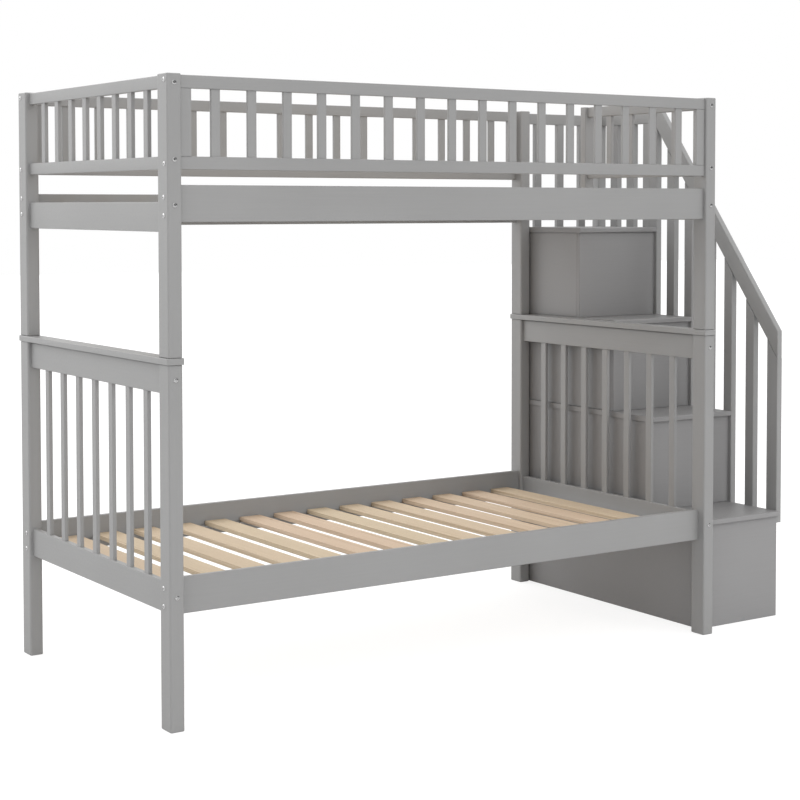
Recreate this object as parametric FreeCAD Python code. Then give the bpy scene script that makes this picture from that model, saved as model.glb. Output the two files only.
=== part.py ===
import FreeCAD, Part
import math
import os

from FreeCAD import Vector

# Twin-over-twin bunk bed in painted pine, with a storage staircase at its right-hand end.
# Sizes are in millimetres. The pieces are drawn with x along the bed from the left posts' outer
# face, y from the front posts' front face towards the back, and z up from the floor. They are
# shifted at the end, so that the origin lies on the floor under the middle of the whole object.

# Posts and the caps between the lower and the upper ones
bed_length = 2010.0
bed_width = 1080.0
lower_post_height = 1010.0
upper_post_height = 773.0
post_thickness = 43.0
post_depth = 63.0
post_rounding = 6.0
cap_thickness = 18.0
cap_overhang = 4.0
cap_nosing = 8.0

# End panels, with rails across the bed and flat spindles between the rails
end_rail_thickness = 18.0
lower_top_rail_height = 83.0
lower_bottom_rail_height = 87.0
lower_bottom_rail_base = 322.0
lower_spindle_count = 7
spindle_width = 28.0
spindle_thickness = 12.0
upper_spindle_count = 8
left_deck_rail_height = 82.0
right_deck_rail_height = 58.0
deck_rail_rise = 425.0
guard_rail_height = 36.0
guard_top_drop = 3.0
guard_lower_rail_rise = 513.0
end_rail_easing = 2.0

# Long side rails, with a cleat inside each for the bed slats
side_rail_thickness = 18.0
side_rail_height = 102.0
lower_front_rail_base = 319.0
lower_back_rail_base = 327.0
lower_side_rail_recess = 30.0
upper_front_rail_rise = 369.5
upper_back_rail_rise = 350.0
upper_side_rail_recess = 15.0
cleat_width = 20.0
cleat_height = 28.0
lower_cleat_rise = 37.0
upper_cleat_rise = 31.5
cleat_end_gap = 20.0
bed_slat_pitch = 134.0
bed_slat_width = 80.0
bed_slat_thickness = 15.0
bed_slat_end_gap = 2.0

# Long guards above the upper side rails
guard_thickness = 18.0
guard_recess = 10.0
guard_slat_pitch = 113.5
guard_slat_width = 28.0
guard_slat_thickness = 10.0
guard_stile_width = 35.0

# Short guard at the right end, which leaves a way in from the stairs
entry_guard_length = 574.0
entry_stile_width = 28.0
entry_stile_thickness = 40.0
entry_slat_count = 4

# Staircase: a stack of open-sided boxes, each roofed by a tread
stair_width = 370.0
stair_goings = (245.0, 213.0, 195.0)
landing_depth = 335.0
landing_drop = 36.5
first_rise = 371.0
tread_thickness = 18.0
tread_overhang = 12.0
tread_nosing = 5.0
panel_thickness = 15.0
side_inset = 6.0
apron_height = 25.0

# Stair guards: landing rails, the sloped handrail and their balusters
stair_rail_height = 40.0
stair_rail_drop = 6.0
stair_rail_thickness = 24.0
back_guard_thickness = 20.0
back_slat_width = 32.0
back_slat_thickness = 18.0
back_slat_pitch = 108.5
baluster_width = 41.0
baluster_thickness = 24.0
baluster_lap = 25.0
corner_post_width = 37.0
corner_post_depth = 40.0
landing_slat_count = 3
newel_width = 52.0
newel_setback = 3.0
handrail_tip_rise = 632.0
handrail_plumb_depth = 98.0
handrail_heel = 14.0
handrail_easing = 3.0

# Joinery: slat ends let into the rails, bolts with barrel nuts, and steel pins through the caps
let_in = 10.0
slip = 0.2
bolt_head_radius = 7.0
bolt_head_height = 2.5
bolt_shank_radius = 3.0
thread_past_axis = 2.0
top_bolt_stagger = 4.0
guard_end_bolt_rise = 9.0
guard_long_bolt_drop = 2.5
side_bolt_spacing = 50.0
lower_side_bolt_rise = 50.0
upper_side_bolt_rise = 43.0
deck_bolt_drop = 9.0
foot_bolt_rise = 6.0
nut_radius = 6.0
nut_length = 14.0
nut_setback = 35.0
pin_radius = 5.0
pin_depth = 30.0
head_sides = 8
hidden_sides = 6

ALONG = Vector(1, 0, 0)
ACROSS = Vector(0, 1, 0)
UP = Vector(0, 0, 1)
ENDS = ("left", "right")
SIDES = ("front", "back")
INTO_BED_FROM_END = {"left": ALONG, "right": -ALONG}
INTO_BED_FROM_SIDE = {"front": ACROSS, "back": -ACROSS}

# Heights that several pieces share
cap_top = lower_post_height + cap_thickness
post_top = cap_top + upper_post_height
guard_top = post_top - guard_top_drop
guard_top_rail = (guard_top - guard_rail_height, guard_top)
guard_lower_rail_base = cap_top + guard_lower_rail_rise
guard_lower_rail = (guard_lower_rail_base, guard_lower_rail_base + guard_rail_height)
deck_rail_top = cap_top + deck_rail_rise
lower_top_rail = (lower_post_height - lower_top_rail_height, lower_post_height)
lower_bottom_rail = (lower_bottom_rail_base, lower_bottom_rail_base + lower_bottom_rail_height)
deck_rail_heights = {"left": left_deck_rail_height, "right": right_deck_rail_height}
side_rail_bases = {
    "lower": {"front": lower_front_rail_base, "back": lower_back_rail_base},
    "upper": {"front": cap_top + upper_front_rail_rise, "back": cap_top + upper_back_rail_rise},
}
side_rail_recesses = {"lower": lower_side_rail_recess, "upper": upper_side_rail_recess}
cleat_rises = {"lower": lower_cleat_rise, "upper": upper_cleat_rise}
side_bolt_rises = {"lower": lower_side_bolt_rise, "upper": upper_side_bolt_rise}
stair_rail_top = post_top - stair_rail_drop
stair_rail = (stair_rail_top - stair_rail_height, stair_rail_top)

# Places that several pieces share
inside_posts_x = (post_thickness, bed_length - post_thickness)
inside_posts_y = (post_depth, bed_width - post_depth)
end_rail_recess = (post_thickness - end_rail_thickness) / 2
stair_inner = bed_length
stair_outer = stair_inner + stair_width
stair_back = bed_width - back_guard_thickness
first_riser = stair_back - landing_depth - sum(stair_goings)
risers = [first_riser + sum(stair_goings[:step]) for step in range(len(stair_goings) + 1)]
landing_top = side_rail_bases["upper"]["front"] - landing_drop
rise = (landing_top - first_rise) / len(stair_goings)
tread_tops = [first_rise + rise * step for step in range(len(risers))]
landing_start = risers[-1] + (panel_thickness + baluster_width) / 2
entry_stile_y = (post_depth + entry_guard_length, post_depth + entry_guard_length + entry_stile_width)

pieces = {}
cutters = {}
bolts = []
nuts = []
guard_stiles = []


def block(x, y, z):
    return Part.makeBox(x[1] - x[0], y[1] - y[0], z[1] - z[0], Vector(x[0], y[0], z[0]))


def middle(span):
    return (span[0] + span[1]) / 2


def around(centre, size):
    return (centre - size / 2, centre + size / 2)


def at_end(low, high, end):
    return (low, high) if end == "left" else (bed_length - high, bed_length - low)


def at_side(low, high, side):
    return (low, high) if side == "front" else (bed_width - high, bed_width - low)


def evenly(span, count):
    step = (span[1] - span[0]) / (count + 1)
    return [span[0] + step * (place + 1) for place in range(count)]


def row(centre, pitch, count):
    return [centre + pitch * (place - (count - 1) / 2) for place in range(count)]


def filling(span, pitch):
    """As many places as a span holds at this pitch, centred in it."""
    return row(middle(span), pitch, int((span[1] - span[0]) / pitch))


def edges_along(shape, direction):
    return [edge for edge in shape.Edges if abs(edge.tangentAt(edge.FirstParameter).dot(direction)) > 0.99]


def eased(shape, direction, easing):
    return shape.makeChamfer(easing, edges_along(shape, direction))


def rounded(shape, direction, radius):
    return shape.makeFillet(radius, edges_along(shape, direction))


def rod(base, axis, length, radius, flat, sides):
    """A straight rod or bore drawn with a few sides, because there are many. One side faces along flat."""
    corner_radius = radius / math.cos(math.pi / sides)
    turns = [2 * math.pi * (side + 0.5) / sides for side in range(sides + 1)]
    steps = [flat * math.cos(turn) + axis.cross(flat) * math.sin(turn) for turn in turns]
    outline = Part.makePolygon([base + step * corner_radius for step in steps])
    return Part.Face(outline).extrude(axis * length)


def cut_later(name, shape):
    cutters.setdefault(name, []).append(shape)


def group(name, solids):
    pieces[name] = Part.makeCompound(solids)


def bolt_together(post, rail, seat, axis, through, open_side, rail_thickness):
    """A bolt with a low head runs through a post into the end of a rail, where a barrel nut holds it."""
    rail_end = seat + axis * through
    nut_centre = rail_end + axis * nut_setback
    shank_length = through + nut_setback + thread_past_axis
    beside = axis.cross(open_side)
    bore_radius = bolt_shank_radius + slip
    cut_later(post, rod(seat, axis, through, bore_radius, beside, hidden_sides))
    cut_later(rail, rod(rail_end, axis, nut_setback, bore_radius, beside, hidden_sides))

    mouth = nut_centre + open_side * (rail_thickness / 2)
    pocket_depth = (rail_thickness + nut_length) / 2 + slip
    cut_later(rail, rod(mouth, -open_side, pocket_depth, nut_radius + slip, axis, hidden_sides))
    barrel_end = nut_centre + open_side * (nut_length / 2)
    barrel = rod(barrel_end, -open_side, nut_length, nut_radius, axis, hidden_sides)
    nuts.append(barrel.cut(rod(seat, axis, shank_length + slip, bore_radius, beside, hidden_sides)))

    top = seat - axis * bolt_head_height
    head = rod(top, axis, bolt_head_height, bolt_head_radius, beside, head_sides)
    bolts.append(head.fuse(rod(seat, axis, shank_length, bolt_shank_radius, beside, hidden_sides)))


def bolt_end_rail(rail, post, end, side, height):
    x = middle(at_end(0, post_thickness, end))
    y = at_side(0, 0, side)[0]
    inward = INTO_BED_FROM_SIDE[side]
    bolt_together(post, rail, Vector(x, y, height), inward, post_depth, ALONG, end_rail_thickness)


def bolt_long_rail(rail, post, end, side, recess, thickness, height):
    x = at_end(0, 0, end)[0]
    y = middle(at_side(recess, recess + thickness, side))
    inward = INTO_BED_FROM_END[end]
    bolt_together(post, rail, Vector(x, y, height), inward, post_thickness, ACROSS, thickness)


def guard_bolts(span):
    """Heights of a guard rail's bolts, across the bed and along it. They pass each other in the post."""
    if span == guard_top_rail:
        return {"across": middle(span) - top_bolt_stagger, "along": middle(span) + top_bolt_stagger}
    return {"across": middle(span) + guard_end_bolt_rise, "along": middle(span) - guard_long_bolt_drop}


def let_in_slats(name, rails, spots, size_x, size_y, gap):
    """Upright slats fill the gap between two rails, with each end let into a mortise."""
    slats = []
    for x, y in spots:
        slats.append(block(around(x, size_x), around(y, size_y), (gap[0] - let_in, gap[1] + let_in)))
        mortise_x = around(x, size_x + 2 * slip)
        mortise_y = around(y, size_y + 2 * slip)
        cut_later(rails[0], block(mortise_x, mortise_y, (gap[0] - let_in - slip, gap[0])))
        cut_later(rails[1], block(mortise_x, mortise_y, (gap[1], gap[1] + let_in + slip)))
    group(name, slats)


def posts_and_caps():
    for end in ENDS:
        x = at_end(0, post_thickness, end)
        for side in SIDES:
            y = at_side(0, post_depth, side)
            for level, span in (("lower", (0, lower_post_height)), ("upper", (cap_top, post_top))):
                pieces[f"{level}_post_{side}_{end}"] = rounded(block(x, y, span), UP, post_rounding)
        stair_side_overhang = cap_overhang if end == "left" else 0
        cap_x = at_end(-stair_side_overhang, post_thickness + cap_overhang, end)
        cap = block(cap_x, (-cap_overhang, bed_width + cap_overhang), (lower_post_height, cap_top))
        cap = cap.makeFillet(cap_nosing, edges_along(cap, ALONG) + edges_along(cap, ACROSS))
        pieces[f"{end}_cap_board"] = cap


def cap_pins():
    """A steel pin at each corner keys the upper post to the lower one, through the cap."""
    pins = []
    for end in ENDS:
        for side in SIDES:
            x = middle(at_end(0, post_thickness, end))
            y = middle(at_side(0, post_depth, side))
            foot = Vector(x, y, lower_post_height - pin_depth)
            length = cap_thickness + 2 * pin_depth
            bore_foot = foot - UP * slip
            bore = rod(bore_foot, UP, length + 2 * slip, pin_radius + slip, ALONG, hidden_sides)
            for name in (f"lower_post_{side}_{end}", f"{end}_cap_board", f"upper_post_{side}_{end}"):
                cut_later(name, bore)
            pins.append(rod(foot, UP, length, pin_radius, ALONG, hidden_sides))
    group("cap_pins", pins)


def lower_end_panel(end):
    rail_x = at_end(end_rail_recess, end_rail_recess + end_rail_thickness, end)
    rails = {"bottom": lower_bottom_rail, "top": lower_top_rail}
    bolt_heights = {"bottom": middle(lower_bottom_rail) + foot_bolt_rise, "top": middle(lower_top_rail)}
    names = [f"lower_{end}_{place}_rail" for place in rails]
    for name, place in zip(names, rails):
        pieces[name] = eased(block(rail_x, inside_posts_y, rails[place]), ACROSS, end_rail_easing)
        for side in SIDES:
            bolt_end_rail(name, f"lower_post_{side}_{end}", end, side, bolt_heights[place])
    spots = [(middle(rail_x), y) for y in evenly(inside_posts_y, lower_spindle_count)]
    gap = (lower_bottom_rail[1], lower_top_rail[0])
    let_in_slats(f"lower_{end}_spindles", names, spots, spindle_thickness, spindle_width, gap)


def deck_rail(end):
    name = f"upper_{end}_deck_rail"
    rail_x = at_end(end_rail_recess, end_rail_recess + end_rail_thickness, end)
    span = (deck_rail_top - deck_rail_heights[end], deck_rail_top)
    pieces[name] = eased(block(rail_x, inside_posts_y, span), ACROSS, end_rail_easing)
    for side in SIDES:
        bolt_end_rail(name, f"upper_post_{side}_{end}", end, side, deck_rail_top - deck_bolt_drop)


def upper_left_guard():
    rail_x = at_end(end_rail_recess, end_rail_recess + end_rail_thickness, "left")
    rails = {"upper_left_guard_rail": guard_lower_rail, "upper_left_top_rail": guard_top_rail}
    for name, span in rails.items():
        pieces[name] = eased(block(rail_x, inside_posts_y, span), ACROSS, end_rail_easing)
        for side in SIDES:
            bolt_end_rail(name, f"upper_post_{side}_left", "left", side, guard_bolts(span)["across"])
    spots = [(middle(rail_x), y) for y in evenly(inside_posts_y, upper_spindle_count)]
    gap = (guard_lower_rail[1], guard_top_rail[0])
    let_in_slats("upper_left_spindles", list(rails), spots, spindle_thickness, spindle_width, gap)


def entry_guard():
    """The right-hand guard stops at a stile that straddles the deck rail like a fork."""
    rail_x = at_end(end_rail_recess, end_rail_recess + end_rail_thickness, "right")
    rail_y = (post_depth, entry_stile_y[0])
    deck_base = deck_rail_top - right_deck_rail_height
    stile_x = around(middle(rail_x), entry_stile_thickness)
    stile = eased(block(stile_x, entry_stile_y, (deck_base, guard_top)), UP, end_rail_easing)
    fork_x = around(middle(rail_x), end_rail_thickness + 2 * slip)
    pieces["entry_stile"] = stile.cut(block(fork_x, entry_stile_y, (deck_base, deck_rail_top + slip)))

    rails = {"entry_guard_lower_rail": guard_lower_rail, "entry_guard_top_rail": guard_top_rail}
    for name, span in rails.items():
        pieces[name] = eased(block(rail_x, rail_y, span), ACROSS, end_rail_easing)
        height = guard_bolts(span)["across"]
        bolt_end_rail(name, "upper_post_front_right", "right", "front", height)
        stile_face = Vector(middle(rail_x), entry_stile_y[1], height)
        through = entry_stile_width
        bolt_together("entry_stile", name, stile_face, -ACROSS, through, ALONG, end_rail_thickness)
    spots = [(middle(rail_x), y) for y in evenly(rail_y, entry_slat_count)]
    gap = (guard_lower_rail[1], guard_top_rail[0])
    let_in_slats("entry_guard_slats", list(rails), spots, spindle_thickness, spindle_width, gap)


def bunk_deck(level):
    """Two side rails, a cleat inside each, and the slats that lie on the cleats."""
    recess = side_rail_recesses[level]
    bases = side_rail_bases[level]
    cleat_top = bases["front"] + cleat_rises[level]
    bolt_heights = row(bases["front"] + side_bolt_rises[level], side_bolt_spacing, 2)
    inner_face = recess + side_rail_thickness
    cleat_x = (inside_posts_x[0] + cleat_end_gap, inside_posts_x[1] - cleat_end_gap)
    cleats = []
    for side in SIDES:
        name = f"{level}_{side}_side_rail"
        y = at_side(recess, inner_face, side)
        span = (bases[side], bases[side] + side_rail_height)
        pieces[name] = eased(block(inside_posts_x, y, span), ALONG, end_rail_easing)
        for end in ENDS:
            for height in bolt_heights:
                post = f"{level}_post_{side}_{end}"
                bolt_long_rail(name, post, end, side, recess, side_rail_thickness, height)
        cleat_y = at_side(inner_face, inner_face + cleat_width, side)
        cleats.append(block(cleat_x, cleat_y, (cleat_top - cleat_height, cleat_top)))
    group(f"{level}_slat_cleats", cleats)

    slat_y = (inner_face + bed_slat_end_gap, bed_width - inner_face - bed_slat_end_gap)
    slat_z = (cleat_top, cleat_top + bed_slat_thickness)
    places = filling(inside_posts_x, bed_slat_pitch)
    group(f"{level}_bed_slats", [block(around(x, bed_slat_width), slat_y, slat_z) for x in places])


def long_guard(side):
    rail_y = at_side(guard_recess, guard_recess + guard_thickness, side)
    rails = {f"{side}_guard_lower_rail": guard_lower_rail, f"{side}_guard_top_rail": guard_top_rail}
    for name, span in rails.items():
        pieces[name] = eased(block(inside_posts_x, rail_y, span), ALONG, end_rail_easing)
        for end in ENDS:
            post = f"upper_post_{side}_{end}"
            height = guard_bolts(span)["along"]
            bolt_long_rail(name, post, end, side, guard_recess, guard_thickness, height)
    gap = (guard_lower_rail[1], guard_top_rail[0])
    between_stiles = (inside_posts_x[0] + guard_stile_width, inside_posts_x[1] - guard_stile_width)
    spots = [(x, middle(rail_y)) for x in filling(between_stiles, guard_slat_pitch)]
    let_in_slats(f"{side}_guard_slats", list(rails), spots, guard_slat_width, guard_slat_thickness, gap)
    for end in ENDS:
        stile_x = at_end(post_thickness, post_thickness + guard_stile_width, end)
        guard_stiles.append(block(stile_x, rail_y, gap))


def stair_boxes():
    """Each step is a box that is closed to the bed and open outwards, standing on the tread below."""
    side_x = (stair_inner + side_inset, stair_inner + side_inset + panel_thickness)
    front_x = (side_x[0], stair_outer)
    apron_x = (stair_outer - panel_thickness, stair_outer)
    end_y = (stair_back - panel_thickness, stair_back)
    inner_sides, fronts, end_panels, dividers, aprons = [], [], [], [], []
    for step, riser in enumerate(risers):
        floor = tread_tops[step - 1] if step else 0
        ceiling = tread_tops[step] - tread_thickness
        shelf = floor if step else panel_thickness
        inside_y = (riser + panel_thickness, end_y[0])
        inner_sides.append(block(side_x, inside_y, (floor, ceiling)))
        fronts.append(block(front_x, (riser, inside_y[0]), (floor, ceiling)))
        end_panels.append(block(front_x, end_y, (floor, ceiling)))
        aprons.append(block(apron_x, inside_y, (ceiling - apron_height, ceiling)))
        for later in risers[step + 1:]:
            divider_y = (later, later + panel_thickness)
            dividers.append(block((side_x[1], apron_x[0]), divider_y, (shelf, ceiling)))
        tread_y = (riser - tread_overhang, stair_back)
        tread = block((stair_inner, stair_outer), tread_y, (ceiling, tread_tops[step]))
        nosing = [edge for edge in edges_along(tread, ALONG) if edge.CenterOfMass.y < riser]
        pieces[f"stair_tread_{step + 1}"] = tread.makeFillet(tread_nosing, nosing)
    group("stair_inner_sides", inner_sides)
    group("stair_risers", fronts)
    group("stair_end_panels", end_panels)
    group("stair_dividers", dividers)
    group("stair_aprons", aprons)
    bottom_y = (risers[0] + panel_thickness, end_y[0])
    pieces["stair_bottom_board"] = block((side_x[1], stair_outer), bottom_y, (0, panel_thickness))


def landing_guard():
    """Two rails round the landing meet at a corner post that is notched over the box's corner."""
    foot = landing_top - tread_thickness - baluster_lap
    rail_x = (stair_outer, stair_outer + stair_rail_thickness)
    corner_x = (rail_x[1] - corner_post_width, rail_x[1])
    corner_y = (bed_width - corner_post_depth, bed_width)
    post = eased(block(corner_x, corner_y, (foot, stair_rail_top)), UP, end_rail_easing)
    notch = block((corner_x[0], stair_outer), (corner_y[0], stair_back), (foot, landing_top))
    pieces["stair_corner_post"] = post.cut(notch)

    back_x = (stair_inner + side_inset, corner_x[0])
    back_rail = block(back_x, (stair_back, bed_width), stair_rail)
    pieces["stair_back_rail"] = eased(back_rail, ALONG, end_rail_easing)
    slat_z = (foot, stair_rail[0])
    slat_y = (stair_back, stair_back + back_slat_thickness)
    places = filling(back_x, back_slat_pitch)
    slats = [block(around(x, back_slat_width), slat_y, slat_z) for x in places]

    landing_rail = block(rail_x, (landing_start, corner_y[0]), stair_rail)
    pieces["stair_landing_rail"] = eased(landing_rail, ACROSS, end_rail_easing)
    slat_x = (stair_outer, stair_outer + baluster_thickness)
    first = landing_start + baluster_width / 2
    places = [first] + evenly((first, middle(corner_y)), landing_slat_count - 1)
    slats += [block(slat_x, around(y, baluster_width), slat_z) for y in places]
    group("stair_landing_slats", slats)


def upright_prism(outline, x):
    """A board whose outline is drawn in y and z, as thick as the span x."""
    corners = [Vector(x[0], y, z) for y, z in outline]
    return Part.Face(Part.makePolygon(corners + corners[:1])).extrude(ALONG * (x[1] - x[0]))


def sloped_handrail():
    """A straight board rises from the newel to the landing. The balusters are cut to its slope."""
    tip_y = risers[0] + newel_setback
    tip_z = tread_tops[0] + handrail_tip_rise
    climb = stair_rail_top - handrail_heel + handrail_plumb_depth - tip_z
    slope = climb / (landing_start - tip_y)

    def underside(y):
        return tip_z - handrail_plumb_depth + slope * (y - tip_y)

    outline = [
        (tip_y, underside(tip_y)),
        (landing_start, underside(landing_start)),
        (landing_start, stair_rail_top),
        (tip_y + (stair_rail_top - tip_z) / slope, stair_rail_top),
        (tip_y, tip_z),
    ]
    board = upright_prism(outline, (stair_outer, stair_outer + stair_rail_thickness))
    arrises = [edge for edge in board.Edges if abs(edge.tangentAt(edge.FirstParameter).x) < 0.01]
    pieces["stair_handrail"] = board.makeChamfer(handrail_easing, arrises)

    def baluster(y, foot, thickness):
        cut_to_slope = [(y[0], foot), (y[1], foot), (y[1], underside(y[1])), (y[0], underside(y[0]))]
        return upright_prism(cut_to_slope, (stair_outer, stair_outer + thickness))

    feet = [top - tread_thickness - baluster_lap for top in tread_tops]
    newel_y = (tip_y, tip_y + newel_width)
    pieces["stair_newel"] = eased(baluster(newel_y, feet[0], stair_rail_thickness), UP, end_rail_easing)
    balusters = []
    below = middle(newel_y)
    for step, riser in enumerate(risers[1:]):
        at_riser = riser + panel_thickness / 2
        for centre in (middle((below, at_riser)), at_riser):
            balusters.append(baluster(around(centre, baluster_width), feet[step], baluster_thickness))
        below = at_riser
    group("stair_balusters", balusters)


posts_and_caps()
cap_pins()
for bed_end in ENDS:
    lower_end_panel(bed_end)
    deck_rail(bed_end)
upper_left_guard()
entry_guard()
for deck_level in ("lower", "upper"):
    bunk_deck(deck_level)
for bed_side in SIDES:
    long_guard(bed_side)
stair_boxes()
landing_guard()
sloped_handrail()
group("guard_stiles", guard_stiles)
group("rail_bolts", bolts)
group("barrel_nuts", nuts)

whole_x = (-cap_overhang, stair_outer + stair_rail_thickness)
to_origin = Vector(-middle(whole_x), -bed_width / 2, 0)
os.makedirs("parts", exist_ok=True)
for node, piece in pieces.items():
    finished = piece.cut(cutters[node]) if node in cutters else piece
    finished.translate(to_origin)
    finished.exportStep(f"parts/{node}.step")
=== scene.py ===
import math

import bmesh
import bpy
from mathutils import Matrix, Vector


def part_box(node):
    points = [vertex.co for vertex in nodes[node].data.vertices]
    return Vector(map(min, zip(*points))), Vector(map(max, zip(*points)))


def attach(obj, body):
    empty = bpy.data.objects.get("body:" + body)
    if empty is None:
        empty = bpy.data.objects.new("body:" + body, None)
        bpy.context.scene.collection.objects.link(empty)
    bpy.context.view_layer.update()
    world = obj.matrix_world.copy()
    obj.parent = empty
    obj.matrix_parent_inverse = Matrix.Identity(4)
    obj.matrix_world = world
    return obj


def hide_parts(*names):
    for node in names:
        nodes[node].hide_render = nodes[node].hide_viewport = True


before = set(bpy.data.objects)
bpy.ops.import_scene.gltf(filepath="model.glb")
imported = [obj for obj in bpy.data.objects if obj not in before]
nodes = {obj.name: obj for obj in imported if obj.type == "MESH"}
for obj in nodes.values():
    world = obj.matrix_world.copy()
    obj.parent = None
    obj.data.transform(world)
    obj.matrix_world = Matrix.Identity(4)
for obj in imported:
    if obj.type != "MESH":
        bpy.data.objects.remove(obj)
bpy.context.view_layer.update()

scene = bpy.context.scene


# The posts: eight pine posts, four to each bunk, planed, eased along their edges and sprayed with satin grey
# paint, through which the grain still shows a little. The upper ones stand over the lower ones, on the cap
# boards, and their ends are eased.
paint_on_ridges = (0.272, 0.271, 0.270, 1.0)
paint_in_hollows = (0.250, 0.249, 0.248, 1.0)
paint_roughness = (0.36, 0.47)
paint_shine = 0.4
plain_tone = 0.35
grain_pitch = 0.006
grain_stretch = 34.0
grain_detail = 3.0
grain_relief = 0.00006
grain_tone_share = 0.3
spray_pitch = 0.0015
spray_relief = 0.00002
gloss_pitch = 4 * spray_pitch
cloud_pitch = 0.35
cloud_detail = 1.0
cloud_tones = (-0.3, 0.3)
board_tone_share = 0.15
noise_spread = (0.3, 0.7)
merge_distance = 0.00001
flat_angle = math.radians(0.5)
sharp_angle = math.radians(50.0)
round_profile = 0.5
ease_segments = 2
post_end_ease = 0.0030
bore_reach = 0.012


def put(tree, kind, inputs=None, output=None, **settings):
    """Add a node to a tree, set it up and wire its inputs. Return its first output, or the one named."""
    node = tree.nodes.new(kind)
    for name, value in settings.items():
        setattr(node, name, value)
    for name, value in (inputs or {}).items():
        named = [entry for entry in node.inputs if entry.name == name and entry.enabled]
        socket = named[0] if named else node.inputs[name]
        for source in value if isinstance(value, list) else [value]:
            if isinstance(source, bpy.types.NodeSocket):
                tree.links.new(source, socket)
            else:
                socket.default_value = source
    outputs = [entry for entry in node.outputs if entry.enabled and output in (None, entry.name)]
    return outputs[0] if outputs else None


def reckon(tree, operation, first, second):
    """One step of arithmetic between two numbers or sockets."""
    return put(tree, "ShaderNodeMath", {0: first, 1: second}, operation=operation)


def noise(tree, place, pitch, low, high, detail=2.0):
    """A noise with lumps about one pitch wide, stretched to run mostly from low to high."""
    lumps = put(tree, "ShaderNodeTexNoise", {"Vector": place, "Scale": 1.0 / pitch, "Detail": detail})
    ends = {"From Min": noise_spread[0], "From Max": noise_spread[1], "To Min": low, "To Max": high}
    return put(tree, "ShaderNodeMapRange", {"Value": lumps, **ends})


def between(tree, share, first, second):
    """A colour that goes from the first to the second as share goes from 0 to 1."""
    return put(tree, "ShaderNodeMix", {"Factor": share, "A": first, "B": second}, data_type="RGBA")


def new_finish(name):
    """A material with an empty tree."""
    finish = bpy.data.materials.new(name)
    finish.use_nodes = True
    finish.node_tree.nodes.clear()
    return finish


def satin_paint(name, turn=0.0, climb=0.0, relief=grain_relief, tones=(paint_in_hollows, paint_on_ridges)):
    """Grey paint on a board whose grain runs along X, turned about Z and then raised by climb."""
    finish = new_finish(name)
    tree = finish.node_tree
    place = put(tree, "ShaderNodeTexCoord", output="Object")
    axis = {"Vector": place, "Rotation": (0.0, -climb, turn), "Scale": (grain_stretch, 1.0, 1.0)}
    along = put(tree, "ShaderNodeMapping", axis, vector_type="TEXTURE")
    grain = noise(tree, along, grain_pitch, 0.0, 1.0, grain_detail)
    spray = noise(tree, place, spray_pitch, 0.0, 1.0)
    cloud = noise(tree, place, cloud_pitch, *cloud_tones, cloud_detail)
    board = put(tree, "ShaderNodeAttribute", output="Fac", attribute_name="board_tone")
    shade = reckon(tree, "ADD", reckon(tree, "MULTIPLY", grain, grain_tone_share), plain_tone)
    shade = reckon(tree, "ADD", shade, cloud)
    shade = reckon(tree, "ADD", shade, reckon(tree, "MULTIPLY", board, board_tone_share))
    colour = between(tree, shade, *tones)
    lift = put(tree, "ShaderNodeBump", {"Height": grain, "Distance": relief, "Strength": 1.0})
    skin = put(tree, "ShaderNodeBump", {"Height": spray, "Distance": spray_relief, "Normal": lift})
    gloss = noise(tree, place, gloss_pitch, *paint_roughness)
    surface = {"Base Color": colour, "Roughness": gloss, "Normal": skin, "Specular IOR Level": paint_shine}
    shader = put(tree, "ShaderNodeBsdfPrincipled", surface)
    put(tree, "ShaderNodeOutputMaterial", {"Surface": shader})
    return finish


def show(piece, slot, *stands_for):
    """Fix a finished piece to the bed in place of the drawn pieces that it stands for."""
    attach(piece, "root")
    if stands_for:
        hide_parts(*stands_for)


def rounded(shape, edges, radius, segments):
    """Round off some edges of a shape."""
    bmesh.ops.bevel(shape, geom=edges, offset=radius, segments=segments, profile=round_profile,
                    affect="EDGES", clamp_overlap=True)


def placed(name, mesh):
    """Put a mesh into the scene as an object of its own."""
    piece = bpy.data.objects.new(name, mesh)
    scene.collection.objects.link(piece)
    return piece


def piece_of(name, shape):
    """Make a shape an object, with its rounds shaded smooth and its corners left sharp."""
    for face in shape.faces:
        face.smooth = True
    for edge in shape.edges:
        edge.smooth = edge.calc_face_angle() < sharp_angle
    mesh = bpy.data.meshes.new(name)
    shape.to_mesh(mesh)
    shape.free()
    return placed(name, mesh)


def finished(node, shape, finish):
    """Make a shape the painted piece that stands for a drawn one."""
    piece = piece_of(f"{node}_painted", shape)
    piece.data.materials.append(finish)
    piece.modifiers.new("flat_faces_stay_flat", "WEIGHTED_NORMAL").keep_sharp = True
    show(piece, "grey_painted_pine", node)


def welded(node):
    """A copy of a drawn piece with its loose triangles joined at their corners."""
    shape = bmesh.new()
    shape.from_mesh(nodes[node].data)
    bmesh.ops.remove_doubles(shape, verts=shape.verts, dist=merge_distance)
    return shape


def whole_faces(node):
    """A welded copy of a drawn piece with its flat triangles joined into whole faces."""
    shape = welded(node)
    bmesh.ops.dissolve_limit(shape, angle_limit=flat_angle, verts=shape.verts, edges=shape.edges)
    return shape


def painted(node, finish, ease=0.0, eased=None):
    """A painted copy of a drawn piece, with the chosen edges eased."""
    shape = whole_faces(node)
    if eased:
        arrises = [edge for edge in shape.edges if edge.calc_face_angle() > sharp_angle and eased(edge)]
        rounded(shape, arrises, ease, ease_segments)
    finished(node, shape, finish)


def at_level(corner, level):
    """Whether a corner lies at one height."""
    return abs(corner.co.z - level) < merge_distance


def lies_at(edge, level):
    """Whether an edge lies flat at one height."""
    return all(at_level(corner, level) for corner in edge.verts)


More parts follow.
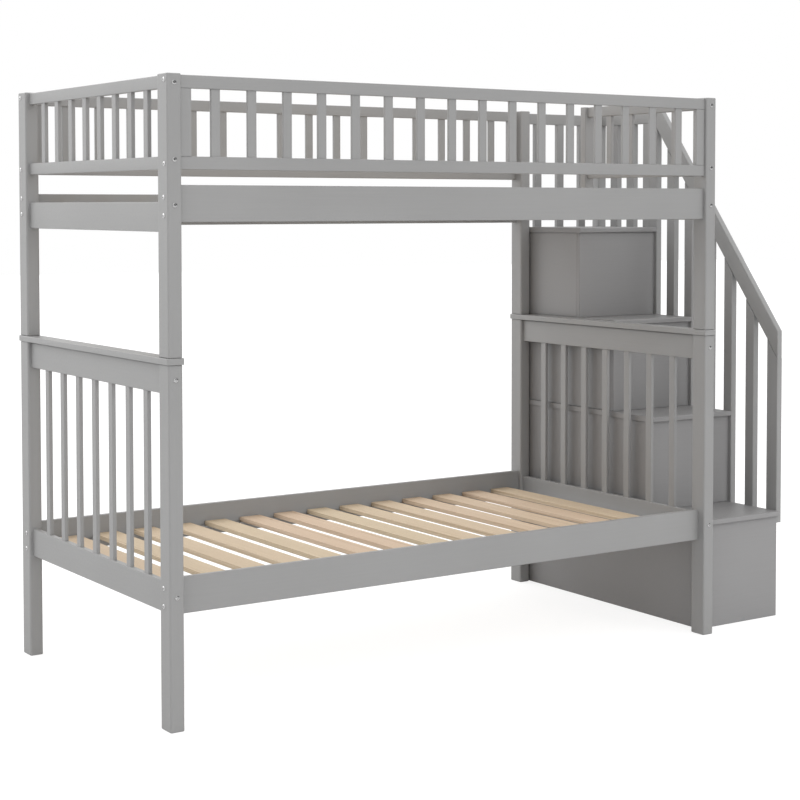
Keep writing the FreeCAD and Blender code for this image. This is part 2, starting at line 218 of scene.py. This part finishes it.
def post_ends(node):
    """Chooses the edges round both ends of a post, and leaves the rims of the bores in them."""
    low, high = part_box(node)
    middle = (low + high) / 2

    def chosen(edge):
        at_rim = all((corner.co.xy - middle.xy).length > bore_reach for corner in edge.verts)
        return at_rim and (lies_at(edge, low.z) or lies_at(edge, high.z))

    return chosen


paint_up = satin_paint("grey_paint_grain_up", climb=math.pi / 2)
for side in ("front_left", "front_right", "back_left", "back_right"):
    for level in ("lower", "upper"):
        post = f"{level}_post_{side}"
        painted(post, paint_up, post_end_ease, post_ends(post))


# The cap boards and their pins: a painted board with eased edges lies across each end, between the lower
# and the upper posts. A bright zinc-plated steel pin at each corner goes through it, from one post into the
# other.
zinc_light = (0.60, 0.60, 0.59, 1.0)
zinc_dark = (0.46, 0.46, 0.47, 1.0)
zinc_roughness = (0.14, 0.24)
zinc_spangle = 0.0022
zinc_gloss_pitch = zinc_spangle / 2
cap_corner_radius = 0.006
cap_corner_segments = 4
cap_top_radius = 0.0025
cap_underside_radius = 0.0008
cap_edge_segments = 3

paint_across = satin_paint("grey_paint_grain_across", turn=math.pi / 2)
zinc_plate = new_finish("zinc_plate")
zinc_tree = zinc_plate.node_tree
zinc_place = put(zinc_tree, "ShaderNodeTexCoord", output="Object")
zinc_tone = noise(zinc_tree, zinc_place, zinc_spangle, 0.0, 1.0)
zinc_surface = {
    "Base Color": between(zinc_tree, zinc_tone, zinc_dark, zinc_light),
    "Roughness": noise(zinc_tree, zinc_place, zinc_gloss_pitch, *zinc_roughness),
    "Metallic": 1.0,
}
zinc_shader = put(zinc_tree, "ShaderNodeBsdfPrincipled", zinc_surface)
put(zinc_tree, "ShaderNodeOutputMaterial", {"Surface": zinc_shader})


def plated(node):
    """Give a drawn steel piece that stays as it is its zinc plate."""
    for entry in nodes[node].material_slots:
        entry.material = zinc_plate


def cap_board(node):
    """A painted board of the drawn one's size, with its corners rounded and its edges eased."""
    low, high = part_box(node)
    shape = bmesh.new()
    bmesh.ops.create_cube(shape, size=1.0)
    for corner in shape.verts:
        corner.co = (low + high) / 2 + corner.co * (high - low)
    uprights = [edge for edge in shape.edges
                if (edge.verts[0].co.xy - edge.verts[1].co.xy).length < merge_distance]
    rounded(shape, uprights, cap_corner_radius, cap_corner_segments)
    for level, radius in ((high.z, cap_top_radius), (low.z, cap_underside_radius)):
        arrises = [edge for edge in shape.edges if lies_at(edge, level)]
        rounded(shape, arrises, radius, cap_edge_segments)
    finished(node, shape, paint_across)


for end in ("left", "right"):
    cap_board(f"{end}_cap_board")
plated("cap_pins")


# The lower end panels: at each end a deep rail under the cap board, one at the height of the bed, and flat
# pine spindles between them, whose ends are glued into blind mortises in the rails. The upper rail's top
# edges are planed back, so a dark line shows under the cap board.
spindle_count = 7
spindle_width = 0.028
slat_edge_radius = 0.002
edge_segments = 3
drawn_rail_ease = 0.002
planed_depth = 0.005
planed_height = 0.0075


def new_tree(name, inputs):
    """A tree of Geometry Nodes with named inputs. Return it with its inputs' sockets by name."""
    tree = bpy.data.node_groups.new(name, "GeometryNodeTree")
    for label, kind in inputs.items():
        tree.interface.new_socket(label, in_out="INPUT", socket_type=f"NodeSocket{kind}")
    tree.interface.new_socket("Geometry", in_out="OUTPUT", socket_type="NodeSocketGeometry")
    entry = tree.nodes.new("NodeGroupInput")
    return tree, {label: entry.outputs[label] for label in inputs}


def made_by(tree, piece, values):
    """Run a tree on a piece with these values, and leave the result as the piece's own plain mesh."""
    maker = piece.modifiers.new(tree.name, "NODES")
    maker.node_group = tree
    for entry in tree.interface.items_tree:
        if entry.item_type == "SOCKET" and entry.name in values:
            maker[entry.identifier] = values[entry.name]
    graph = bpy.context.evaluated_depsgraph_get()
    mesh = bpy.data.meshes.new_from_object(
        piece.evaluated_get(graph), preserve_all_data_layers=True, depsgraph=graph)
    piece.modifiers.remove(maker)
    mesh.name = piece.name
    piece.data = mesh


row_tree, row = new_tree("board_row", {
    "Count": "Int", "First": "Vector", "Step": "Vector", "Turn": "Vector", "Width": "Float",
    "Thickness": "Float", "Length": "Float", "Edge Radius": "Float", "Seed": "Int", "Finish": "Material",
})
row_outline = put(row_tree, "GeometryNodeCurvePrimitiveQuadrilateral",
                  {"Width": row["Width"], "Height": row["Thickness"]})
row_section = put(row_tree, "GeometryNodeFilletCurve",
                  {"Curve": row_outline, "Radius": row["Edge Radius"], "Count": edge_segments}, mode="POLY")
row_half = reckon(row_tree, "MULTIPLY", row["Length"], 0.5)
row_top = put(row_tree, "ShaderNodeCombineXYZ", {"Z": row_half})
row_foot = put(row_tree, "ShaderNodeVectorMath", {0: row_top, "Scale": -1.0}, operation="SCALE")
row_axis = put(row_tree, "GeometryNodeCurvePrimitiveLine", {"Start": row_foot, "End": row_top})
row_board = put(row_tree, "GeometryNodeCurveToMesh",
                {"Curve": row_axis, "Profile Curve": row_section, "Fill Caps": True})
row_place = put(row_tree, "GeometryNodeInputPosition")
row_board = put(row_tree, "GeometryNodeStoreNamedAttribute",
                {"Geometry": row_board, "Name": "board_place", "Value": row_place}, data_type="FLOAT_VECTOR")
row_points = put(row_tree, "GeometryNodeMeshLine",
                 {"Count": row["Count"], "Start Location": row["First"], "Offset": row["Step"]})
row_boards = put(row_tree, "GeometryNodeInstanceOnPoints",
                 {"Points": row_points, "Instance": row_board, "Rotation": row["Turn"]})
row_tone = put(row_tree, "FunctionNodeRandomValue", {"Min": -1.0, "Max": 1.0, "Seed": row["Seed"]},
               data_type="FLOAT")
row_boards = put(row_tree, "GeometryNodeStoreNamedAttribute",
                 {"Geometry": row_boards, "Name": "board_tone", "Value": row_tone},
                 data_type="FLOAT", domain="INSTANCE")
row_boards = put(row_tree, "GeometryNodeRealizeInstances", {"Geometry": row_boards})
row_boards = put(row_tree, "GeometryNodeSetMaterial", {"Geometry": row_boards, "Material": row["Finish"]})
put(row_tree, "NodeGroupOutput", {"Geometry": row_boards})

along_x, along_y, along_z = 0, 1, 2
stands_facing_x = (0.0, 0.0, math.pi / 2)
stands_facing_y = (0.0, 0.0, 0.0)
lies_along_y = (-math.pi / 2, 0.0, 0.0)


def board_row(node, run, turn, count, width, edge_radius, seed, finish, slot="grey_painted_pine"):
    """A row of like boards with rounded edges, spread along run as the drawn row is, in its place."""
    low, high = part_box(node)
    size = high - low
    first = (low + high) / 2
    first[run] = low[run] + width / 2
    step = Vector((0.0, 0.0, 0.0))
    step[run] = (size[run] - width) / (count - 1)
    length_axis = along_y if turn == lies_along_y else along_z
    thickness_axis = ({along_x, along_y, along_z} - {run, length_axis}).pop()
    piece = placed(f"{node}_row", bpy.data.meshes.new(f"{node}_row"))
    made_by(row_tree, piece, {
        "Count": count, "First": first, "Step": step, "Turn": turn, "Width": width,
        "Thickness": size[thickness_axis], "Length": size[length_axis], "Edge Radius": edge_radius,
        "Seed": seed, "Finish": finish,
    })
    piece.modifiers.new("flat_faces_stay_flat", "WEIGHTED_NORMAL").keep_sharp = True
    show(piece, slot, node)


def planed_under_cap(node):
    """A painted rail with the two eased edges along its top planed further back."""
    low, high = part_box(node)
    middle = (low + high) / 2
    flat_half = high.x - middle.x - planed_depth
    shape = whole_faces(node)
    for corner in shape.verts:
        if at_level(corner, high.z):
            corner.co.x = middle.x + math.copysign(flat_half, corner.co.x - middle.x)
        elif at_level(corner, high.z - drawn_rail_ease):
            corner.co.z = high.z - planed_height
    finished(node, shape, paint_across)


for seed, end in enumerate(("left", "right")):
    planed_under_cap(f"lower_{end}_top_rail")
    painted(f"lower_{end}_bottom_rail", paint_across)
    board_row(f"lower_{end}_spindles", along_y, stands_facing_x, spindle_count, spindle_width,
              slat_edge_radius, seed, paint_up)


# The upper ends: a painted pine deck rail across each end carries the upper bunk. On the left a guard of two
# rails and eight spindles stands over it. On the right a shorter guard stops at a stile that straddles the
# deck rail, and leaves the way in from the stairs.
upper_spindle_count = 8
upper_spindle_seed = 2
entry_slat_count = 4
entry_slat_seed = 3

for rail in ("upper_left_deck_rail", "upper_right_deck_rail", "upper_left_top_rail",
             "upper_left_guard_rail", "entry_guard_top_rail", "entry_guard_lower_rail"):
    painted(rail, paint_across)
painted("entry_stile", paint_up)
board_row("upper_left_spindles", along_y, stands_facing_x, upper_spindle_count, spindle_width,
          slat_edge_radius, upper_spindle_seed, paint_up)
board_row("entry_guard_slats", along_y, stands_facing_x, entry_slat_count, spindle_width,
          slat_edge_radius, entry_slat_seed, paint_up)


# The side rails and their cleats: four deep boards bolted between the posts carry the two bunks. A pine cleat
# is glued and screwed along the inside of each, for the bed slats to lie on.
cleat_ease = 0.0015
long_edge = 0.030


def long_edges(edge):
    """Chooses the long edges of a board, and leaves those of its mortises and bores sharp."""
    return edge.calc_length() > long_edge


paint_along = satin_paint("grey_paint_grain_along")
for bunk in ("lower", "upper"):
    for side in ("front", "back"):
        painted(f"{bunk}_{side}_side_rail", paint_along)
    painted(f"{bunk}_slat_cleats", paint_along, cleat_ease, long_edges)


# The bed slats: fourteen boards of bare planed pine to each bunk, laid across it on the cleats. They differ
# from board to board in tone, in the run of their rings and in their few small knots.
bed_slat_count = 14
bed_slat_seed = 10
bed_slat_width = 0.080
bed_slat_edge_radius = 0.0025
early_wood = (0.625, 0.508, 0.395, 1.0)
late_wood = (0.44, 0.328, 0.232, 1.0)
knot_brown = (0.30, 0.155, 0.075, 1.0)
pink_board = (1.0, 0.93, 0.91, 1.0)
yellow_board = (0.95, 0.99, 0.91, 1.0)
pine_roughness = (0.58, 0.74)
pine_shine = 0.3
ring_scale = 62.0
ring_waver = 5.0
ring_detail = 2.0
ring_detail_scale = 0.8
ring_stretch = 0.03
late_wood_sharpness = 2.2
late_wood_share = 0.75
board_shift = (0.055, 0.030, 3.0)
fibre_pitch = 0.0009
fibre_stretch = 0.02
fibre_share = 0.25
fibre_relief = 0.00005
pine_gloss_pitch = 3 * fibre_pitch
knot_pitch = 0.13
knot_reach = (0.030, 0.060)
knot_depth = 0.85

bare_pine = new_finish("bare_pine")
pine_tree = bare_pine.node_tree
pine_place = put(pine_tree, "ShaderNodeAttribute", output="Vector", attribute_name="board_place")
pine_tone = put(pine_tree, "ShaderNodeAttribute", output="Fac", attribute_name="board_tone")
pine_shift = put(pine_tree, "ShaderNodeVectorMath", {0: board_shift, "Scale": pine_tone},
                 operation="SCALE")
pine_own = put(pine_tree, "ShaderNodeVectorMath", {0: pine_place, 1: pine_shift}, operation="ADD")
pine_long = put(pine_tree, "ShaderNodeMapping", {"Vector": pine_own, "Scale": (1.0, 1.0, ring_stretch)})
pine_rings = put(pine_tree, "ShaderNodeTexWave",
                 {"Vector": pine_long, "Scale": ring_scale, "Distortion": ring_waver,
                  "Detail": ring_detail, "Detail Scale": ring_detail_scale},
                 output="Fac", wave_type="RINGS", rings_direction="Z", wave_profile="SAW")
pine_thread = put(pine_tree, "ShaderNodeMapping",
                  {"Vector": pine_own, "Scale": (1.0, 1.0, fibre_stretch)})
pine_fibre = noise(pine_tree, pine_thread, fibre_pitch, 0.0, 1.0)
pine_late = reckon(pine_tree, "POWER", pine_rings, late_wood_sharpness)
pine_late = reckon(pine_tree, "MULTIPLY", pine_late, late_wood_share)
pine_threads = reckon(pine_tree, "MULTIPLY", pine_fibre, fibre_share)
pine_late = reckon(pine_tree, "ADD", pine_late, pine_threads)
pine_wood = between(pine_tree, pine_late, early_wood, late_wood)
pine_range = {"Value": pine_tone, "From Min": -1.0, "From Max": 1.0}
pine_share = put(pine_tree, "ShaderNodeMapRange", pine_range)
pine_tint = between(pine_tree, pine_share, pink_board, yellow_board)
pine_wood = put(pine_tree, "ShaderNodeMix", {"Factor": 1.0, "A": pine_wood, "B": pine_tint},
                data_type="RGBA", blend_type="MULTIPLY")
pine_cells = put(pine_tree, "ShaderNodeTexVoronoi", {"Vector": pine_own, "Scale": 1.0 / knot_pitch},
                 output="Distance")
pine_ends = {"From Min": knot_reach[0], "From Max": knot_reach[1], "To Min": knot_depth, "To Max": 0.0}
pine_knot = put(pine_tree, "ShaderNodeMapRange", {"Value": pine_cells, **pine_ends})
pine_colour = between(pine_tree, pine_knot, pine_wood, knot_brown)
pine_skin = put(pine_tree, "ShaderNodeBump",
                {"Height": pine_late, "Distance": fibre_relief, "Strength": 1.0})
pine_gloss = noise(pine_tree, pine_thread, pine_gloss_pitch, *pine_roughness)
pine_surface = {"Base Color": pine_colour, "Roughness": pine_gloss, "Normal": pine_skin,
                "Specular IOR Level": pine_shine}
pine_shader = put(pine_tree, "ShaderNodeBsdfPrincipled", pine_surface)
put(pine_tree, "ShaderNodeOutputMaterial", {"Surface": pine_shader})

for seed, bunk in enumerate(("lower", "upper"), start=bed_slat_seed):
    board_row(f"{bunk}_bed_slats", along_x, lies_along_y, bed_slat_count, bed_slat_width,
              bed_slat_edge_radius, seed, bare_pine, "natural_pine")


# The long guards: along the front and the back of the upper bunk two slim rails carry sixteen flat slats in
# blind mortises. A wider stile closes each end, against the post. All of it is pine, painted as the posts
# are.
guard_slat_count = 16
guard_slat_seed = 20
guard_slat_width = 0.028
stile_ease = 0.0015

for seed, side in enumerate(("front", "back"), start=guard_slat_seed):
    for level in ("top", "lower"):
        painted(f"{side}_guard_{level}_rail", paint_along)
    board_row(f"{side}_guard_slats", along_x, stands_facing_y, guard_slat_count, guard_slat_width,
              slat_edge_radius, seed, paint_up)
painted("guard_stiles", paint_up, stile_ease, long_edges)


# The stair boxes: four boxes of sprayed board, each as wide as the stairs and one step higher than the last,
# with shelves behind the risers that open to the outer side. The boards are dowelled and screwed together.
panel_ease = 0.0025
panel_relief = 0.00001
# The boards' grey is darker than the posts' paint: partly the board's own tone, partly painted shade for the
# stair's faces, which sit in the shade of the upper bunk.
shaded_panel_on_ridges = (0.253, 0.250, 0.251, 1.0)
shaded_panel_in_hollows = (0.233, 0.230, 0.231, 1.0)

paint_panel_with_painted_shade = satin_paint("grey_paint_on_board", relief=panel_relief,
                          tones=(shaded_panel_in_hollows, shaded_panel_on_ridges))
for panel in ("stair_bottom_board", "stair_inner_sides", "stair_end_panels", "stair_risers",
              "stair_dividers", "stair_aprons"):
    painted(panel, paint_panel_with_painted_shade, panel_ease, long_edges)


# The treads: a board with a rounded nosing lies on each box and stands a little over its riser.
# They are screwed down from inside the boxes and sprayed with them.
tread_count = 4

for step in range(1, tread_count + 1):
    # The treads take the boxes' darker paint, with its painted shade.
    painted(f"stair_tread_{step}", paint_panel_with_painted_shade)


# The landing guard: a corner post notched over the top box, a rail along the back and one along the outer
# side, and flat slats under both, screwed to the box at their feet.
slat_ease = 0.002

painted("stair_corner_post", paint_up, stile_ease, post_ends("stair_corner_post"))
painted("stair_back_rail", paint_along)
painted("stair_landing_rail", paint_across)
painted("stair_landing_slats", paint_up, slat_ease, long_edges)


# The sloped handrail: one board that runs down from the landing to the newel over the lowest step, with flat
# balusters cut to its slope. Each baluster laps the apron of the tread beside it.
handrail_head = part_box("stair_handrail")[1]
newel_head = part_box("stair_newel")[1]
handrail_slope = math.atan2(handrail_head.z - newel_head.z, handrail_head.y - newel_head.y)

paint_slope = satin_paint("grey_paint_grain_sloped", turn=math.pi / 2, climb=handrail_slope)
painted("stair_handrail", paint_slope)
painted("stair_newel", paint_up)
painted("stair_balusters", paint_up, slat_ease, long_edges)


# The rail bolts and barrel nuts: low domed heads with a six-sided key socket, on the outer faces of the
# posts. Each bolt goes through its post into a cross-bored barrel nut in the rail. All are of zinc-plated
# steel.
head_radius = 0.007
head_height = 0.0025
dome_profile = [(1.0, 0.0), (1.0, 0.36), (0.92, 0.62), (0.76, 0.83), (0.58, 0.95), (0.44, 1.0)]
key_flat = 0.0025
key_depth = 0.0018
shank_radius = 0.003
past_shank = 1.5 * shank_radius
shank_sides = 10
turned_sides = 24


def turned_head(name, rim, recess, floor):
    """A head turned about Z: rings of (radius, height) from its seat up, and a recess down to its floor."""
    angles = [2 * math.pi * step / turned_sides for step in range(turned_sides)]
    crown = rim[-1][1]
    rings = [([radius] * turned_sides, height) for radius, height in rim]
    mouth = [recess(angle) for angle in angles]
    rings += [(mouth, crown), (mouth, floor)]
    shape = bmesh.new()
    loops = []
    for radii, height in rings:
        loops.append([shape.verts.new((radius * math.cos(angle), radius * math.sin(angle), height))
                      for radius, angle in zip(radii, angles)])
    for lower, upper in zip(loops, loops[1:]):
        for step in range(turned_sides):
            after = (step + 1) % turned_sides
            shape.faces.new((lower[step], lower[after], upper[after], upper[step]))
    shape.faces.new(loops[-1])
    shape.faces.new(loops[0][::-1])
    bmesh.ops.recalc_face_normals(shape, faces=shape.faces)
    return piece_of(name, shape)


def key_socket(angle):
    """The radius of a six-sided socket at one angle."""
    sixth = math.pi / 3
    return key_flat / math.cos(angle % sixth - sixth / 2)


fixing_tree, fixing = new_tree("fixings", {
    "Points": "Geometry", "Head": "Object", "Shank Radius": "Float", "Finish": "Material",
})
fixing_facing = put(fixing_tree, "GeometryNodeInputNamedAttribute", {"Name": "outward"},
                    data_type="FLOAT_VECTOR")
fixing_reach = put(fixing_tree, "GeometryNodeInputNamedAttribute", {"Name": "reach"},
                   data_type="FLOAT")
fixing_turn = put(fixing_tree, "FunctionNodeAlignRotationToVector", {"Vector": fixing_facing}, axis="Z")
fixing_head = put(fixing_tree, "GeometryNodeObjectInfo", {"Object": fixing["Head"]}, output="Geometry")
fixing_rod = put(fixing_tree, "GeometryNodeMeshCylinder",
                 {"Vertices": shank_sides, "Radius": fixing["Shank Radius"], "Depth": 1.0})
fixing_rod = put(fixing_tree, "GeometryNodeTransform",
                 {"Geometry": fixing_rod, "Translation": (0.0, 0.0, -0.5)})
fixing_length = put(fixing_tree, "ShaderNodeCombineXYZ", {"X": 1.0, "Y": 1.0, "Z": fixing_reach})
fixing_heads = put(fixing_tree, "GeometryNodeInstanceOnPoints",
                   {"Points": fixing["Points"], "Instance": fixing_head, "Rotation": fixing_turn})
fixing_shanks = put(fixing_tree, "GeometryNodeInstanceOnPoints",
                    {"Points": fixing["Points"], "Instance": fixing_rod, "Rotation": fixing_turn,
                     "Scale": fixing_length})
fixing_all = put(fixing_tree, "GeometryNodeJoinGeometry", {"Geometry": [fixing_heads, fixing_shanks]})
fixing_all = put(fixing_tree, "GeometryNodeRealizeInstances", {"Geometry": fixing_all})
fixing_all = put(fixing_tree, "GeometryNodeSetMaterial",
                 {"Geometry": fixing_all, "Material": fixing["Finish"]})
put(fixing_tree, "NodeGroupOutput", {"Geometry": fixing_all})


def fixings(name, head, radius, places):
    """Steel fixings at places, each a seat, the way that its head faces and how deep it reaches."""
    points = bpy.data.meshes.new(name)
    points.from_pydata([seat for seat, facing, reach in places], [], [])
    points.attributes.new("outward", "FLOAT_VECTOR", "POINT")
    points.attributes.new("reach", "FLOAT", "POINT")
    for number, (seat, facing, reach) in enumerate(places):
        points.attributes["outward"].data[number].vector = facing
        points.attributes["reach"].data[number].value = reach
    piece = placed(name, points)
    made_by(fixing_tree, piece, {"Head": head, "Shank Radius": radius, "Finish": zinc_plate})
    bpy.data.objects.remove(head)
    return piece


def solids_of(node):
    """The corners of each separate solid in a drawn node, in the order in which they are drawn."""
    shape = welded(node)
    reached = set()
    solids = []
    for start in shape.verts:
        if start.index in reached:
            continue
        front = [start]
        reached.add(start.index)
        corners = []
        while front:
            corner = front.pop()
            corners.append(corner.co.copy())
            for edge in corner.link_edges:
                other = edge.other_vert(corner)
                if other.index not in reached:
                    reached.add(other.index)
                    front.append(other)
        solids.append(corners)
    shape.free()
    return solids


def corners_of(points):
    """The lowest and the highest corner of some points."""
    return Vector(map(min, *points)), Vector(map(max, *points))


def off_line(corner, middle, axis):
    """How far a corner lies from the line through middle along an axis."""
    offset = corner - middle
    offset[axis] = 0.0
    return offset.length


def facing_along(axis, way):
    """A unit step along an axis, one way or the other."""
    facing = Vector((0.0, 0.0, 0.0))
    facing[axis] = way
    return facing


bolt_places = []
for solid in solids_of("rail_bolts"):
    low, high = corners_of(solid)
    middle = (low + high) / 2
    axis = max((along_x, along_y, along_z), key=lambda number: high[number] - low[number])
    head_levels = [corner[axis] for corner in solid if off_line(corner, middle, axis) > past_shank]
    heads_up = min(head_levels) > middle[axis]
    seat = middle.copy()
    seat[axis] = min(head_levels) if heads_up else max(head_levels)
    facing = facing_along(axis, 1.0 if heads_up else -1.0)
    bolt_places.append((seat, facing, high[axis] - low[axis] - head_height))
bolt_rim = [(out * head_radius, rise * head_height) for out, rise in dome_profile]
bolt_head = turned_head("bolt_head", bolt_rim, key_socket, head_height - key_depth)
bolts = fixings("rail_bolts_plated", bolt_head, shank_radius, bolt_places)
show(bolts, "zinc_steel", "rail_bolts")
plated("barrel_nuts")


# The wood screws: zinc-plated screws with a cross recess, driven flush. Two hold the foot of each baluster,
# slat and post of the stair guard to its box, and a row of them holds each cleat to its side rail.
screw_radius = 0.0036
screw_stands_proud = 0.0003
screw_rim_depth = 0.0006
cross_arm = 0.0020
cross_waist = 0.0007
cross_sharpness = 3
cross_depth = 0.0012
screw_shank_radius = 0.0017
screw_reach = 0.028
screw_rise = 0.0125
screw_shares = (0.28, 0.72)
cleat_screw_count = 8


def cross_recess(angle):
    """The radius of a four-armed recess at one angle."""
    return cross_waist + (cross_arm - cross_waist) * abs(math.cos(2 * angle)) ** cross_sharpness


screw_places = []
for node in ("stair_newel", "stair_balusters", "stair_landing_slats", "stair_corner_post"):
    for solid in solids_of(node):
        low, high = corners_of(solid)
        outer = along_x if high.x - low.x < high.y - low.y else along_y
        across = along_y if outer == along_x else along_x
        for share in screw_shares:
            seat = high.copy()
            seat[across] = low[across] + share * (high[across] - low[across])
            seat.z = low.z + screw_rise
            screw_places.append((seat, facing_along(outer, 1.0), screw_reach))
for bunk in ("lower", "upper"):
    for solid in solids_of(f"{bunk}_slat_cleats"):
        low, high = corners_of(solid)
        inner = 1.0 if high.y < 0.0 else -1.0
        for step in range(cleat_screw_count):
            x = low.x + (step + 0.5) * (high.x - low.x) / cleat_screw_count
            seat = Vector((x, high.y if inner > 0.0 else low.y, (low.z + high.z) / 2))
            screw_places.append((seat, facing_along(along_y, inner), screw_reach))
screw_rim = [(screw_radius, -screw_rim_depth), (screw_radius, 0.0),
             (screw_radius - screw_stands_proud, screw_stands_proud)]
screw_head = turned_head("screw_head", screw_rim, cross_recess, screw_stands_proud - cross_depth)
screws = fixings("wood_screws", screw_head, screw_shank_radius, screw_places)
show(screws, "zinc_steel")


# The floor and the light: a white studio floor under a dome lit by five broad soft lights. The camera sees
# floor and dome as white paper, with only faint shadows. A dark flag stands off to the front right, for the
# steel to mirror.
floor_half = 30.0
floor_grey = (0.66, 0.66, 0.66, 1.0)
floor_mottle = (0.63, 0.63, 0.63, 1.0)
floor_mottle_pitch = 0.5
floor_roughness = 0.9
floor_glow = 0.03
white_light = (1.0, 1.0, 1.0, 1.0)
paper_grey = (0.30, 0.30, 0.30, 1.0)
paper_glow = 0.78
soft_lights = [
    ((0.0, -0.98, 0.20), 1.22), ((0.55, -0.55, 0.63), 1.55), ((-0.55, -0.55, 0.63), 0.87),
    ((0.0, 0.71, 0.71), 1.98), ((-0.69, 0.69, 0.20), 1.58),
]
soft_light_falloff = 3.0
flag_axis = (0.57, -0.82, 0.06)
flag_falloff = 1.6

floor_mesh = bpy.data.meshes.new("studio_floor")
floor_corners = [(-floor_half, -floor_half, 0.0), (floor_half, -floor_half, 0.0),
                 (floor_half, floor_half, 0.0), (-floor_half, floor_half, 0.0)]
floor_mesh.from_pydata(floor_corners, [], [(0, 1, 2, 3)])
floor = placed("studio_floor", floor_mesh)
floor_paper = new_finish("white_floor_paper")
floor_tree = floor_paper.node_tree
floor_seen = put(floor_tree, "ShaderNodeLightPath", output="Is Camera Ray")
floor_place = put(floor_tree, "ShaderNodeTexCoord", output="Object")
floor_clouds = noise(floor_tree, floor_place, floor_mottle_pitch, 0.0, 1.0)
floor_tone = between(floor_tree, floor_clouds, floor_mottle, floor_grey)
floor_light = {"Value": floor_seen, "To Min": floor_glow, "To Max": paper_glow}
floor_surface = {
    "Base Color": between(floor_tree, floor_seen, floor_tone, paper_grey),
    "Roughness": floor_roughness,
    "Specular IOR Level": 0.0,
    "Emission Color": white_light,
    "Emission Strength": put(floor_tree, "ShaderNodeMapRange", floor_light),
}
put(floor_tree, "ShaderNodeOutputMaterial",
    {"Surface": put(floor_tree, "ShaderNodeBsdfPrincipled", floor_surface)})
floor_mesh.materials.append(floor_paper)


def broad_lobe(tree, way, axis, falloff):
    """1 towards the axis, falling to 0 at right angles to it."""
    facing = put(tree, "ShaderNodeVectorMath", {0: way, 1: axis}, output="Value", operation="DOT_PRODUCT")
    return reckon(tree, "POWER", reckon(tree, "MAXIMUM", facing, 0.0), falloff)


dome = bpy.data.worlds.new("white_dome")
dome.use_nodes = True
dome_tree = dome.node_tree
dome_tree.nodes.clear()
dome_way = put(dome_tree, "ShaderNodeTexCoord", output="Generated")
dome_strength = 0.0
for light_axis, light_strength in soft_lights:
    lobe = broad_lobe(dome_tree, dome_way, light_axis, soft_light_falloff)
    lobe = reckon(dome_tree, "MULTIPLY", lobe, light_strength)
    dome_strength = reckon(dome_tree, "ADD", dome_strength, lobe)
dome_mirrored = put(dome_tree, "ShaderNodeLightPath", output="Is Glossy Ray")
dome_flag = broad_lobe(dome_tree, dome_way, flag_axis, flag_falloff)
dome_flag = reckon(dome_tree, "MULTIPLY", dome_mirrored, dome_flag)
dome_unflagged = reckon(dome_tree, "SUBTRACT", 1.0, dome_flag)
dome_strength = reckon(dome_tree, "MULTIPLY", dome_strength, dome_unflagged)
dome_seen = put(dome_tree, "ShaderNodeLightPath", output="Is Camera Ray")
dome_range = {"Value": dome_seen, "To Min": dome_strength, "To Max": 1.0}
dome_glow = put(dome_tree, "ShaderNodeMapRange", dome_range)
dome_light = put(dome_tree, "ShaderNodeBackground", {"Color": white_light, "Strength": dome_glow})
put(dome_tree, "ShaderNodeOutputWorld", {"Surface": dome_light})
scene.world = dome
scene.view_settings.view_transform = "Standard"


# The camera stands off the front left corner at chest height, with a long lens. The lens is shifted, as on a
# view camera, so that the posts stay nearly upright while the bed fills the frame.
camera_place = (-3.3087, -4.8982, 1.4433)
camera_turn = 0.60079
camera_dip = 0.04201
camera_lens = 79.754
camera_shift = (-0.0450, -0.15)

camera = bpy.data.cameras.new("front_left_camera")
camera.lens = camera_lens
camera.shift_x, camera.shift_y = camera_shift
camera_stand = bpy.data.objects.new("front_left_camera", camera)
camera_stand.location = camera_place
camera_stand.rotation_euler = (math.pi / 2 - camera_dip, 0.0, -camera_turn)
scene.collection.objects.link(camera_stand)
scene.camera = camera_stand
